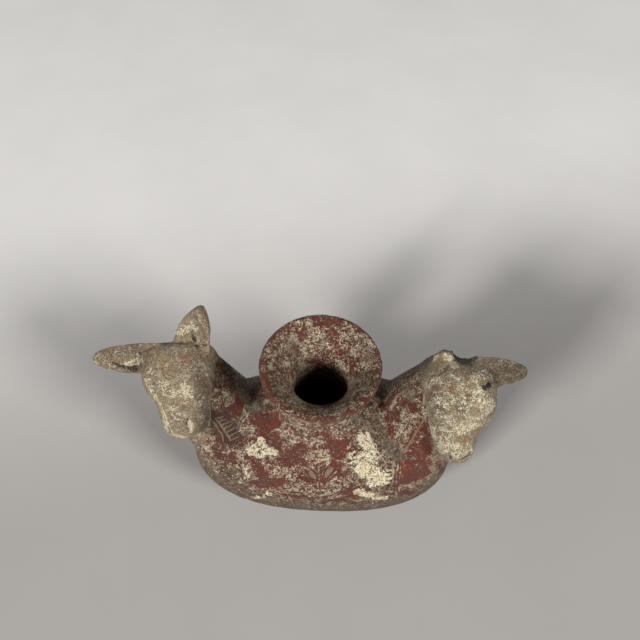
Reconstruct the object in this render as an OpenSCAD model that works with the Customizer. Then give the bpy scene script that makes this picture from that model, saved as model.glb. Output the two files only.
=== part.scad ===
// Two-headed terracotta vase: a hollow loaf-shaped body with a trumpet mouth and a calf's head on a neck
// at each end. Millimetres, +Z up. The vase rests on the XY plane, its length lies along X, the heads
// look towards -Y.

/* [Body] */
// Length of the body between its rounded ends
body_l = 170; // [130:1:220]
// Width of the body from front to back
body_w = 91; // [70:1:120]
// Height of the body above the face it rests on
body_h = 86.5; // [70:0.5:115]
// Height trimmed off the round underside for the resting face
foot_trim = 3; // [1.5:0.5:6]
// Squareness of the body seen from above
plan_square = 2.4; // [2:0.05:3.2]
// Squareness of the body seen from its end
end_square = 2.15; // [2:0.05:3]
// Thickness of the clay wall
wall = 6; // [4:0.5:8]

/* [Mouth] */
// Distance of the mouth to the left of the body's middle
mouth_left = 1.2; // [0:0.1:3]
// Height of the lip above the face the vase rests on
lip_z = 141.5; // [125:0.5:160]
// Diameter across the lip
lip_d = 68; // [55:1:80]
// Narrowest inside diameter, at the throat
throat_d = 32; // [24:1:40]
// Depth of the throat below the lip
throat_deep = 20; // [14:1:28]
// Thickness of the wall at the throat
collar_wall = 5.5; // [4:0.5:8]
// Spread of the foot of the collar on the body
collar_spread = 17; // [8:1:24]

/* [Heads] */
// Distance of the left skull from the middle of the vase
left_head_x = 85; // [76:0.5:94]
// Distance of the right skull from the middle of the vase
right_head_x = 80; // [74:0.5:92]
// Height of the middle of the left skull
left_head_z = 109; // [104:0.5:120]
// Height of the middle of the right skull
right_head_z = 108; // [102:0.5:118]
// Distance of the middle of the skulls behind the vase's middle
head_y = 7.5; // [2:0.5:12]
// Extra thickness of the left neck at its root
left_root = -2; // [-4:0.5:4]
// Extra thickness of the right neck at its root
right_root = 3.5; // [0:0.5:6]
// Length of the left head from poll to muzzle
left_head_l = 57; // [48:1:66]
// Length of the right head from poll to muzzle
right_head_l = 64; // [54:1:74]
// Width of a head at the eyes
head_w = 43; // [36:0.5:48]
// Angle that the noses point down
nose_down = 29; // [15:1:40]

/* [Ears] */
// Length of the left head's outer ear
left_ear_l = 41; // [28:1:46]
// Length of the left head's upright ear
upright_ear_l = 28.5; // [24:1:42]
// Length of the right head's outer ear
right_ear_l = 29; // [26:1:44]
// Width of an ear
ear_w = 17; // [12:0.5:22]
// Thickness of an ear
ear_t = 5; // [4:0.5:8]

/* [Carving] */
// Width of the incised lines
line_w = 1.2; // [0.8:0.1:2]
// Depth of the incised lines
line_deep = 0.7; // [0.4:0.05:1]

/* [Hidden] */
a = body_l / 2;
b = body_w / 2;
c = (body_h + foot_trim) / 2;
zc = c - foot_trim;
left_neck_x = left_head_x + 0.5;
left_neck_z = left_head_z + 13.5;
right_neck_x = right_head_x - 1.5;
right_neck_z = right_head_z + 11.5;
around = 40;
along = 20;
mouth_n = 40;
turn = 0.48;

// Vector helpers
function unit(v) = v / norm(v);
function mix(p, q, t) = p + (q - p) * t;
function sp(v, e) = sign(v) * pow(abs(v), e);

// Point of the body's skin, from the share of its length and an angle from the top towards the front
function skin(u, t, off = 0) = let(
    k = pow(max(0, 1 - pow(abs(u), plan_square)), 1 / plan_square), e = 2 / end_square)
    [(a + off) * u, -(b + off) * k * sp(sin(t), e), zc + (c + off) * k * sp(cos(t), e)];

// Rings of an egg-shaped solid with the half axes ra, rb and rc, flat at floor_z. Each ring is turned a little
// against the one before, as on the wheel, so that no two facets lie in one plane
function egg(ra, rb, rc, floor_z, n, m) = [for (i = [0:m]) let(
    phi = -86 + 172 * i / m, k = pow(cos(phi), 2 / plan_square))
    [for (j = [0:n - 1]) let(t = 360 * j / n + turn * i) [ra * sp(sin(phi), 2 / plan_square),
        rb * k * sp(cos(t), 2 / end_square), max(floor_z, zc + rc * k * sp(sin(t), 2 / end_square))]]];

// Closed solid through rings that all have the same number of points
module loft(rings) {
    n = len(rings[0]);
    m = len(rings);
    mean = function(r) [for (k = [0:2]) let(s = [for (p = r) p[k]]) s * [for (p = r) 1 / len(r)]];
    polyhedron(
        points = concat([for (r = rings) for (p = r) p], [mean(rings[0]), mean(rings[m - 1])]),
        faces = concat(
            [for (i = [0:m - 2]) for (j = [0:n - 1]) let(k = (j + 1) % n, q = i * n)
                each [[q + j, q + n + k, q + k], [q + j, q + n + j, q + n + k]]],
            [for (j = [0:n - 1]) [m * n, j, (j + 1) % n]],
            [for (j = [0:n - 1]) [m * n + 1, (m - 1) * n + (j + 1) % n, (m - 1) * n + j]]));
}

module body() {
    color("sienna") loft(egg(a, b, c, 0, around, along));
}

module hollow() {
    loft(egg(a - wall, b - wall, c - wall, wall, 18, 11));
}

// Height of the body's top above a place in plan
function deck(x, y) = let(k = pow(1 - pow(abs(x / a), plan_square), 1 / plan_square))
    zc + c * pow(pow(k, end_square) - pow(abs(y / b), end_square), 1 / end_square);

// Trumpet mouth: a collar that rises out of the body's curved top and opens out to a rounded lip
module mouth() {
    rc = throat_d / 2 + collar_wall;
    rl = lip_d / 2;
    top = zc + c;
    waist = top + (lip_z - top) * 0.42;
    ring = function(r, zf) [for (j = [0:mouth_n - 1]) let(f = 360 * j / mouth_n + turn * r)
        [r * cos(f), r * sin(f), zf(f)]];
    foot = min(rc + collar_spread, 0.86 * b);
    color("sienna") loft(concat(
        [ring(foot + 1, function(f) deck(foot * cos(f), foot * sin(f)) - 2)],
        [for (t = [0.08, 0.2, 0.35, 0.5, 0.7, 1]) ring(rc + (foot - rc) * pow(1 - t, 2.2),
            function(f) mix(deck(foot * cos(f), foot * sin(f)) - 1, waist, t))],
        [for (t = [0.25, 0.45, 0.62, 0.77, 0.9]) ring(rc + (rl - rc) * pow(t, 1.6),
            function(f) mix(waist, lip_z - 2.4, t))],
        [for (e = [[0.2, 2.2], [0, 1.3], [0.5, 0.4], [1.7, 0]]) ring(rl - e[0], function(f) lip_z - e[1])]));
}

module throat() {
    rt = throat_d / 2;
    rl = lip_d / 2 - 2.6;
    rotate_extrude($fn = mouth_n) polygon([
        [0, zc + c - wall - 6], [rt, zc + c - wall - 6],
        for (t = [0:0.25:1]) [rt - 0.6 * sin(180 * t), mix(zc + c, lip_z - throat_deep, t)],
        for (t = [0.2:0.2:1])
            [rt + (rl - rt) * (0.35 * t + 0.65 * pow(t, 2.2)), lip_z - throat_deep * (1 - pow(t, 0.8))],
        [rl, lip_z + 2], [0, lip_z + 2]]);
}

// Neck rows: share of the way up, share of the way out, depth, half width and half depth
NECK = [[0.00, 0.00, 0.0, 32.5, 36], [0.12, 0.12, 1.0, 30.5, 35.5], [0.25, 0.27, 2.5, 27.5, 33.5],
    [0.38, 0.40, 4, 25, 30.5], [0.50, 0.51, 5.5, 24, 27.5], [0.62, 0.65, 7.3, 22.5, 24.8],
    [0.73, 0.79, 9, 21, 22.5], [0.82, 0.91, 11.5, 19.5, 21], [0.90, 0.99, 12, 17, 18],
    [0.95, 1.01, 12, 13.5, 14.5], [0.985, 1.02, 12, 9, 9.5], [1.00, 1.02, 12, 5, 5]];

function neck_ring(r, side, x, zt, root) = let(
    e = root * (1 - r[0]), cx = mix(a - 36, x, r[1]) - e, z = mix(zc, zt, r[0]))
    [for (j = [0:23]) let(t = 360 * j / 24 + 12 * turn * r[0])
        [side * (cx + (r[3] + e) * cos(t)), r[2] + side * (r[4] + e) * sin(t), z]];

module neck(side, x, zt, root) {
    color("sienna") loft([for (r = NECK) neck_ring(r, side, x, zt, root)]);
}

// Head rows: share of the length from the poll, half width, height above and depth below the axis,
// sideways shift
LEFT_HEAD = [[0.00, 0.30, 4, 6, 0], [0.015, 0.60, 9, 9, 0], [0.045, 0.82, 14, 13, 0],
    [0.09, 0.94, 17, 16, 0], [0.17, 0.98, 19, 18, 0], [0.30, 1.00, 19.5, 18.5, -0.5],
    [0.41, 0.96, 18.5, 18, -0.4], [0.49, 0.92, 17, 16.5, 0], [0.57, 0.83, 15, 15, 0.6],
    [0.65, 0.74, 13.5, 13.5, 1.3], [0.73, 0.69, 12.5, 12.5, 1.4], [0.81, 0.63, 11.5, 11.5, 1.2],
    [0.88, 0.54, 10.5, 10.5, 0.7], [0.94, 0.42, 8.5, 9, 0.4], [0.98, 0.28, 5.5, 6, 0.2],
    [1.00, 0.10, 2, 2, 0]];
RIGHT_HEAD = [[0.00, 0.25, 0, 6, 0], [0.02, 0.52, 3, 9, 0], [0.06, 0.72, 6.5, 13, 0],
    [0.12, 0.86, 10.5, 16, 0], [0.20, 0.93, 15, 18, 0.2], [0.31, 0.97, 18, 19, 0.6],
    [0.40, 0.99, 18.5, 18.5, 1.4], [0.50, 0.96, 17, 17, 1.6],
    [0.58, 0.89, 15.5, 15.5, 0.8], [0.64, 0.80, 14, 14, 0], [0.69, 0.70, 12.5, 12.5, -0.9],
    [0.76, 0.63, 11.8, 11.8, -1.1], [0.84, 0.56, 11, 11, -1.2], [0.90, 0.50, 10, 10, -0.8],
    [0.95, 0.39, 8, 8.5, 0], [0.985, 0.26, 5, 5.5, 0], [1.00, 0.10, 2, 2, 0]];

function head_ring(r, l) = [for (j = [0:19]) let(t = 360 * j / 20 + 12 * turn * r[0], s = sin(t))
    [r[4] + head_w / 2 * r[1] * sp(cos(t), 0.92), 20 - l * r[0], (s > 0 ? r[2] : r[3]) * sp(s, 0.92)]];

// Places its children on a skull, with the nose along -Y
module on_head(o, yaw) {
    translate(o) rotate([nose_down, 0, yaw]) children();
}

module pebble(p, r, rot = [0, 0, 0]) {
    translate(p) rotate(rot) scale(r) sphere(1, $fn = 10);
}

// Leaf-shaped ear from p to q, cupped towards f
function ear_ring(p, q, f, s, w, cup) = let(
    ax = unit(q - p), v = unit(cross(ax, f)), n = cross(v, ax), o = mix(p, q, s))
    [for (j = [0:8]) let(g = -1 + j / 4) o + v * w * g - n * cup * (1 - g * g),
     for (j = [1:7]) let(g = 1 - j / 4)
         o + v * w * g * 0.97 - n * (cup * (1 - g * g) * 0.75 + ear_t * sqrt(1.08 - g * g))];

// Ear rows: share of the length, half width and depth of the cup
EAR = [[-0.05, 1.00, 0.3], [0.1, 1.04, 0.8], [0.25, 1.03, 1], [0.4, 0.99, 1], [0.56, 0.91, 0.9],
    [0.71, 0.79, 0.7], [0.83, 0.63, 0.45], [0.92, 0.45, 0.25], [0.975, 0.27, 0.1], [1.0, 0.10, 0]];

module ear(p, q, f, w = ear_w / 2, taper = 0, cup = 3) {
    loft([for (r = EAR) ear_ring(p, q, f, r[0], w * r[1] * (1 - taper * r[0]), cup * r[2])]);
}

// Root of an ear whose leaf has broken off, with the fracture across it
module broken_ear(p, q, f, w = ear_w / 2, cup = 3) {
    r = [for (e = [[0, 0.8, 0.8], [0.25, 0.86, 1], [0.45, 0.74, 1]])
        ear_ring(p, q, f, e[0], w * e[1], cup * e[2])];
    loft([r[0], r[1], [for (j = [0:15]) mix(r[1][j], r[2][j], 0.7 + 0.25 * sin(97 * j))]]);
}

// Place on a neck's skin, from the share of its height and the angle round it
function nape(side, x, zt, root, s, t) = let(
    col = function(k) lookup(s, [for (r = NECK) [r[0], r[k]]]), e = root * (1 - s))
    [side * (mix(a - 36, x, col(1)) - e + (col(3) + e) * cos(t)), col(2) + side * (col(4) + e) * sin(t),
        mix(zc, zt, s)];

// Point of a carving tool that stands on p along the outward direction n
module tool(p, n) {
    translate(p) rotate([0, acos(n[2] / norm(n)), atan2(n[1], n[0])]) translate([0, 0, -line_deep])
        cylinder(h = 2.2 * line_deep, d1 = 0, d2 = 2.2 * line_w, $fn = 4);
}

// Groove of V section, k times as deep, along the points p with the outward directions n
module groove(p, n, k = 1) {
    m = len(p) - 1;
    loft([for (i = [0:m]) let(
        d = unit(p[min(i + 1, m)] - p[max(i - 1, 0)]), o = unit(n[i]), s = unit(cross(d, o)) * line_w,
        q = p[i] + d * line_w * (i == 0 ? -0.4 : i == m ? 0.4 : 0), top = o * line_deep * 1.3)
        [q - o * line_deep * k, q + (top - s) * k, q + (top + s) * k]]);
}

// Path with its long steps cut up, so that it keeps to the round skin
function fine(path, step) = concat([for (i = [0:len(path) - 2])
    let(n = max(1, ceil(abs(path[i + 1][1] - path[i][1]) / step)))
    for (k = [0:n - 1]) mix(path[i], path[i + 1], k / n)], [path[len(path) - 1]]);

// Incised line on the body through places given as share of the length and angle from the top, with off for
// the height of the real surface over the plain body there
module line(path, off = -0.1) {
    f = fine(path, 9);
    groove([for (e = f) skin(e[0], e[1], off)], [for (e = f) [0, -sin(e[1]), cos(e[1])]]);
}

// Short straight cut on the body from one place to another
module nick(e, f) {
    hull() for (g = [e, f]) tool(skin(g[0], g[1], -0.1), [0, -sin(g[1]), cos(g[1])]);
}

// Incised line on a neck through places given as share of the height and angle
module neck_line(side, x, zt, root, path) {
    groove([for (e = path) nape(side, x, zt, root, e[0], e[1])],
        [for (e = path) [side * cos(e[1]), side * sin(e[1]), 0.25]]);
}

// Short straight cuts on a neck, each from one place to another
module neck_nicks(side, x, zt, root, cuts) {
    for (q = cuts) hull() for (e = [[q[0], q[1]], [q[2], q[3]]])
        tool(nape(side, x, zt, root, e[0], e[1]), [side * cos(e[1]), side * sin(e[1]), 0.25]);
}

// Palmette with its stem, the scalloped border below it, and the ladder and double band to its right
module carving_on_body() {
    line([[0.006, 43.7], [0.009, 56.2], [0.001, 65.1]]);
    line([[-0.101, 46.2], [-0.09, 50], [-0.012, 56.3]]);
    line([[-0.079, 44.6], [-0.035, 48.5], [-0.016, 55.2]]);
    line([[0.098, 38.5], [0.035, 46.5], [0.029, 54.5]]);
    line([[0.107, 39.5], [0.09, 48.5], [0.027, 55.7]]);
    line([[-0.151, 52.3], [-0.026, 57.9]]);
    line([[0.141, 46.6], [0.038, 57.5]]);
    line([[-0.211, 70.5], [-0.137, 69.5], [-0.035, 82.6]]);
    line([[0.02, 84.0], [0.082, 78.8], [0.224, 71.4]]);
    line([[0.24, 82.5], [0.353, 80.6]]);
    line([[0.567, 38.8], [0.559, 53.6], [0.563, 70.0], [0.599, 88.5]]);
    line([[0.542, 38.6], [0.536, 53.2], [0.540, 69.2], [0.566, 88.6]]);
    for (i = [0:8]) let(u = 0.0035 * pow(i / 2, 1.5), t = 3.9 * i + 0.11 * i * i)
        nick([0.472 + u, 40.5 + t], [0.517 + u, 40.7 + t]);
    line([for (i = [0:6]) [0.730 + 0.030 * cos(60 * i), 68.5 + 3.2 * sin(60 * i)]], 1.05);
    line([[0.594, 70.1], [0.625, 86]]);
    line([[0.888, 66], [0.890, 72], [0.885, 78]]);
}

// Fern with its midrib and barbs on the left neck
module carving_on_left_neck() {
    x = left_neck_x;
    z = left_neck_z;
    neck_line(-1, x, z, left_root, [[0.668, 117.7], [0.633, 120.4], [0.519, 118.6], [0.448, 117.6]]);
    neck_line(-1, x, z, left_root, [[0.663, 111.4], [0.567, 113.3], [0.452, 115.4]]);
    neck_nicks(-1, x, z, left_root, [[0.656, 123.4, 0.643, 130.2], [0.624, 122.9, 0.616, 129.3],
        [0.597, 123.2, 0.586, 131.6], [0.574, 122.7, 0.564, 129.5], [0.549, 122.7, 0.540, 130.0],
        [0.522, 122.2, 0.515, 128.6], [0.489, 121.5, 0.478, 127.9]]);
}

// Slanting band and its hatching on the right neck
module carving_on_right_neck() {
    x = right_neck_x;
    z = right_neck_z;
    neck_line(1, x, z, right_root, [[0.753, 239.1], [0.611, 243.8], [0.458, 246.0]]);
    neck_line(1, x, z, right_root, [[0.738, 233.3], [0.606, 237.0], [0.463, 240.1]]);
    neck_nicks(1, x, z, right_root, [[0.687, 199.4, 0.737, 196.9], [0.682, 208.2, 0.741, 206.1],
        [0.667, 216.3, 0.735, 215.8], [0.646, 223.0, 0.718, 223.8]]);
}

// Crease between the cheeks and the muzzle of the right head, in the head's own frame
module muzzle_crease() {
    path = [[-13.2, -26.2, 7.2], [-8.8, -25.3, 10.9], [0, -22.9, 13.2], [8.2, -21.9, 12.4],
        [15.9, -16.4, 10.9]];
    k = right_head_l / 64;
    groove([for (q = path) [q[0], 20 + (q[1] - 20) * k, q[2]]], [for (q = path) [q[0] / 2, 0, 8]], 1.3);
}

// Solid head through its rows, with an eye on each side at the share e of its length
module skull(rows, l, e) {
    loft([for (r = rows) head_ring(r, l)]);
    for (s = [-1, 1]) pebble([s * head_w * 0.39, 20 - l * e, 9.5], [3.2, 5.2, 3.6]);
}

module left_head() {
    o = [-left_head_x, head_y, left_head_z];
    l = left_head_l;
    color("peru") {
        on_head(o, 6.5) difference() {
            union() {
                skull(LEFT_HEAD, l, 0.32);
                pebble([5.2, 20 - 0.845 * l, 8.8], [3.4, 5.6, 2.8], [10, 0, 5]);
            }
            pebble([5.3, 20 - 0.845 * l, 11.8], [1.2, 4.2, 2.6], [14, 0, 5]);
            pebble([-6.4, 20 - 0.895 * l, 9.2], [1.3, 3.4, 2.4], [24, 0, 28]);
        }
        p = o + [-10, 4.5, 11.4];
        ear(p, p + unit([-34, -0.5, -1.8]) * left_ear_l, [0, -0.75, 0.6], ear_w * 0.54);
        q = o + [7.3, 10, 16];
        ear(q, q + unit([7.0, 8, 27]) * upright_ear_l, [-0.25, -0.9, 0.3], ear_w * 0.67, 0.28);
    }
}

module right_head() {
    o = [right_head_x, head_y, right_head_z];
    l = right_head_l;
    color("peru") {
        on_head(o, -1.6) difference() {
            skull(RIGHT_HEAD, l, 0.44);
            muzzle_crease();
            pebble([-4.7, 20 - 0.925 * l, 9.2], [1.3, 2.2, 2.4]);
            pebble([4.7, 20 - 0.92 * l, 9.2], [3.4, 1.1, 2.4], [0, 0, 43]);
        }
        p = o + [9, 3, 13];
        ear(p, p + unit([34, 2, -1]) * right_ear_l, [0, -0.75, 0.6], ear_w * 0.55, 0.12);
        q = o + [-9, 9, 10];
        broken_ear(q, q + unit([-4, 5, 11]) * 16, [-0.2, -0.9, 0.35]);
    }
}

// Dip in the crown between the broken ear and the outer ear of the right head
module crown_dip() {
    pebble([right_head_x + 2.5, head_y + 17, right_head_z + 10], [7, 17, 6], [-54, 0, -4]);
}

module vase() {
    difference() {
        union() {
            body();
            translate([-mouth_left, 0, 0]) mouth();
            neck(-1, left_neck_x, left_neck_z, left_root);
            neck(1, right_neck_x, right_neck_z, right_root);
            left_head();
            right_head();
        }
        hollow();
        translate([-mouth_left, 0, 0]) throat();
        carving_on_body();
        carving_on_left_neck();
        carving_on_right_neck();
        crown_dip();
    }
}

vase();
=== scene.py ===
"""Two-headed terracotta vase: its fired clay, worn slip and lime crust, on a plain studio floor.

The clay piece is a copy of the frame's vase, remeshed, modelled over and carved, and its finish is
painted into attributes that the clay material reads. Places in the tables are in millimetres.
"""
import math

import bmesh
import bpy
import numpy as np
from bpy.props import FloatProperty, FloatVectorProperty, IntProperty, PointerProperty
from mathutils import Matrix, Vector


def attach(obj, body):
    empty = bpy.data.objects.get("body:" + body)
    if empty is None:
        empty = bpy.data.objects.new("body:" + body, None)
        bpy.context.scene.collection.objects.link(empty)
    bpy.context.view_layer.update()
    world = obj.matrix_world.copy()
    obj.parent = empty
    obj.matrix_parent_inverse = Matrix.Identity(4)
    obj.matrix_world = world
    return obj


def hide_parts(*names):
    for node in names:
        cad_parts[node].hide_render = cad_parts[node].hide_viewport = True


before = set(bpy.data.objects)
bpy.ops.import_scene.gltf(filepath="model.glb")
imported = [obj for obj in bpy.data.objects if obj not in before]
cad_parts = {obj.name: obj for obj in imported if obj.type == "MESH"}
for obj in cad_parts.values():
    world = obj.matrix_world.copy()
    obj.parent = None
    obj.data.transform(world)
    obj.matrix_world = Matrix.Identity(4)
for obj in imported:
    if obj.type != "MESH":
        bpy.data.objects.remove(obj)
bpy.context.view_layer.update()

bl_info = {
    "name": "Two-headed terracotta vase",
    "version": (1, 0, 0),
    "blender": (4, 5, 0),
    "location": "View3D > Sidebar > Vase",
    "description": "Models the clay of a two-headed vase over its frame and sets it on a studio floor",
    "category": "Object",
}

MM = 0.001
KINDS = ("red", "chalk", "dark", "pale")

# The mouth, in millimetres: its axis, and the radii and heights of the throat's painted shade, the flare and
# the lip's top
MOUTH_X = -1.2
THROAT_R, THROAT_Z = 18, (88, 119)
FLARE_R, FLARE_Z = 36, (132, 137)
RIM_R, RIM_Z, RIM_REACH = (30.6, 32), (137.5, 139.3), 40

# The body's hollow, a squared ellipsoid: its powers, its middle and lowest heights, and the half sizes of
# what gets coarser faces and of what is painted dark as shade
PLAN_POWER, RISE_POWER = 2.4, 2.15
HOLLOW_Z, HOLLOW_FLOOR_Z = 41.75, 3
INNER_WALL, SHADED_HOLLOW = (81, 41.5, 41), (82, 42.5, 41.5)

# Meshing: what the ears gain before the remesh and lose after it, steps of the softening's weight, passes
# left out when the forms swell back, share of faces kept inside, reach of the finer faces beside a line, and
# the heights over which the softening and the carving fade in above the resting face
EAR_SPARE, EAR_TRIM = 1.1, 0.3
WEIGHT_LEVELS, SWELL_FEWER = 10, 4
INNER_RATIO, LINE_REACH = 0.12, 1.6
FOOT_Z, REST_Z = (0.5, 6), (0.2, 1.5)

# Painting: how deep the bare slip lies, how softly the heads' clay ends at the seam and below, where the low
# body is painted darker as shade, where the plain back begins, and how a line's colour ends, in its half
# widths
SLIP_DEPTH = 0.1
SEAM_BLUR, CHIN_BLUR = 0.8, 4
LOW_SHADE_Z, BACK_Y = (32, 74), (4, 26)
LINE_EDGE = (0.35, 1.25)

# The studio, in metres: paper painted darker near and paler far along a slanted way, as painted shade and
# light, two lamps, and a camera that is turned round the mouth's axis and dips below level, in degrees
FLOOR_SIZE = 6
PAPER_SHADE_SLANT, PAPER_SHADE_FADE, PAPER_MOTTLE = 0.25, (-0.02, 0.33), (0.2, 0.2, 0.2)
LAMP_AIM = (0, 0, 0.05)
KEY_PLACE, KEY_SIZE = (-2.8, -2.95, 2.25), 0.9
FILL_PLACE, FILL_SIZE = (2.9, -2.0, 2.3), 1.1
CAMERA_TURN, CAMERA_DIP = 2.5, 55.4
CAMERA_PLACE = (-0.0003, -0.1781, 0.442)
CAMERA_LENS, CAMERA_SENSOR = 36, 36

# Lumps and hollows pressed into the clay: radius, height, and the two ends of the stroke
MODELLED = [
    (1.5, 0.8, (-100.2, 3.5, 125.1), (-103.6, -1.4, 113.7)),
    (3, -0.8, (-96.3, 1.5, 125.5), (-97.5, -2.8, 121.4)),
    (3.6, 1.1, (-75.5, -19.6, 106.3), (-74.8, -23.7, 103.0)),
    (1.1, -1.8, (-77.3, -19.1, 106.4), (-76.7, -24.0, 102.1)),
    (1.2, -1.2, (-88.1, -22.4, 101.6), (-87.3, -24.9, 97.6)),
    (1.8, -1.0, (-65.1, 1.5, 106.5), (-65.1, -14.3, 90.7)),
    (4, -0.8, (-69.7, 3.5, 121.6), (-67.6, 0.8, 117.2)),
    (1.8, -0.5, (-121.5, 11.0, 116.0), (-109.5, 12.1, 116.8)),
    (3.5, 0.3, (-129.3, 14.6, 121.4), (-108.7, 16.6, 125.2)),
    (1.4, -1.6, (-76.2, 22.1, 129.3), (-75.5, 20.3, 127.8)),
    (1.6, 0.6, (-71.6, 24.5, 151.6), (-68.8, 22.0, 137.6)),
    (3.5, 1.2, (-68.1, 25.9, 150.0), (-66.2, 20.5, 140.0)),
    (8, 3.4, (-62.0, 18.0, 109.0), (-57.0, 16.0, 99.0)),
    (5, 0.8, (-100.6, -5.9, 112.4), (-99.5, -2.0, 118.0)),
    (1.6, -0.6, (-86.6, 10.6, 130.9), (-73.5, 13.2, 128.7)),
    (1.8, 1.6, (68.4, 20.5, 122.4), (77.6, 29.5, 112.6)),
    (1.0, -1.4, (67.8, 9.4, 121.9), (71.4, 13.4, 122.1)),
    (3.2, -0.9, (76.7, 17.0, 123.3), (84.7, 15.9, 123.5)),
    (0.9, 1.0, (59.9, -3.8, 105.6), (63.2, -15.2, 96.3)),
    (0.9, 1.0, (63.2, -15.2, 96.3), (68.9, -23.8, 80.2)),
    (0.8, 0.6, (-66.0, -4.3, 107.3), (-67.4, -14.8, 94.3)),
    (1.6, -0.8, (59.4, -9.7, 97.8), (66.1, -22.4, 80.9)),
    (1.0, -1.0, (62.9, -15.0, 94.4), (74.8, -19.7, 105.1)),
    (1.0, -1.0, (74.8, -19.7, 105.1), (89.8, -16.9, 105.3)),
    (1.0, -0.7, (89.8, -16.9, 105.3), (96.9, -11.3, 107.1)),
    (4, 0.7, (62.0, 2.8, 115.5), (66.8, 3.5, 121.8)),
    (4, 0.7, (83.1, 2.8, 125.4), (91.6, 4.8, 123.7)),
    (1.8, -2.6, (92.5, 1.0, 120.1), (94.4, 3.0, 120.2)),
    (1.1, -1.2, (73.8, -29.9, 98.2), (75.3, -31.1, 93.8)),
    (1.0, -1.2, (81.5, -31.5, 94.1), (86.0, -28.0, 96.2)),
    (5, 0.5, (89.4, -11.3, 115.4), (94.0, -7.3, 116.7)),
    (1.5, 1.0, (78.4, -17.8, 111.4), (87.9, -13.9, 115.8)),
    (1.5, 1.0, (87.9, -13.9, 115.8), (97.5, -6.5, 116.6)),
    (1.3, -1.1, (80.7, -18.1, 108.1), (91.4, -13.5, 110.0)),
    (1.3, -1.1, (91.4, -13.5, 110.0), (98.9, -7.7, 110.0)),
    (1.4, 0.8, (72.8, -29.4, 98.6), (77.4, -31.9, 96.6)),
    (1.4, 0.8, (79.9, -30.8, 98.5), (83.9, -27.7, 100.3)),
    (2.2, 0.9, (91.0, -1.5, 123.6), (100.5, 6.0, 117.6)),
    (1.2, -1.4, (92.0, 1.1, 120.0), (99.1, 7.2, 116.6)),
    (2.5, -0.5, (70.0, -2.9, 120.8), (78.6, -5.5, 121.7)),
    (3, 0.5, (65.1, -4.1, 115.4), (69.5, -11.6, 113.0)),
    (3, 0.4, (80.9, -7.4, 120.6), (85.9, -12.1, 115.6)),
    (2.5, 0.5, (71.6, -23.8, 102.1), (78.2, -25.5, 102.6)),
    (4, 0.4, (-86.5, -1.9, 125.3), (-77.7, -2.0, 123.8)),
    (3, 0.4, (-92.7, -8.3, 117.6), (-83.4, -12.4, 113.9)),
    (2, -0.4, (-96.2, -12.3, 102.6), (-89.8, -19.4, 104.5)),
    (1.2, 0.5, (-83.3, -15.2, 112.0), (-77.6, -17.4, 109.4)),
    (2.6, -0.5, (-49.7, 9.3, 90.8), (-44.3, 4.1, 82.7)),
]
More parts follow.
